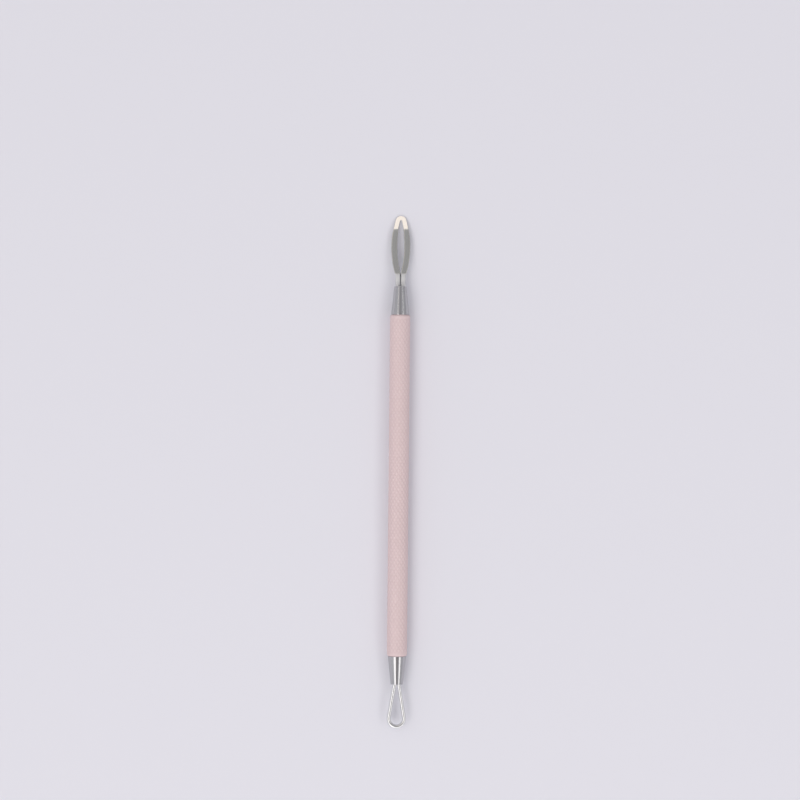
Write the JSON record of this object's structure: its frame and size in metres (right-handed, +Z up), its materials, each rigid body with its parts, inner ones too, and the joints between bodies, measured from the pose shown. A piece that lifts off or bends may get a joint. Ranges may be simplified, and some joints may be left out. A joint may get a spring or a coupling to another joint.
{
  "type": "comedone extractor",
  "caption": "Slim hand tool for pressing out blackheads: a knurled round grip with a steel cone at each end, carrying a flat pointed loop at the front and a round wire loop at the back.",
  "frame": {"origin": "Under the middle of the tool as it lies: the centre of its box in X and Y, on the plane that the grip and the tip rest on.", "axes": "+X along the grip towards the pointed loop, +Z up from the surface it lies on, +Y across. The upper faces of both loops face +Z."},
  "size_m": [0.1264, 0.005, 0.005],
  "materials": {
    "pink_coating": "satin pale pink coating over a fine diamond knurl",
    "polished_ferrule": "turned and polished, with faint rings",
    "ground_steel": "pressed flat and finely ground, bright bevel at the tip",
    "bright_wire": "bright drawn round wire",
    "braze": "dull, slightly uneven"
  },
  "bodies": {
    "root": {"handle_tube": "pink_coating", "lancet_ferrule": "polished_ferrule", "loop_ferrule": "polished_ferrule", "lancet_loop": "ground_steel", "wire_loop": "bright_wire", "lancet_braze": "braze", "loop_braze": "braze"}
  },
  "joints": []
}
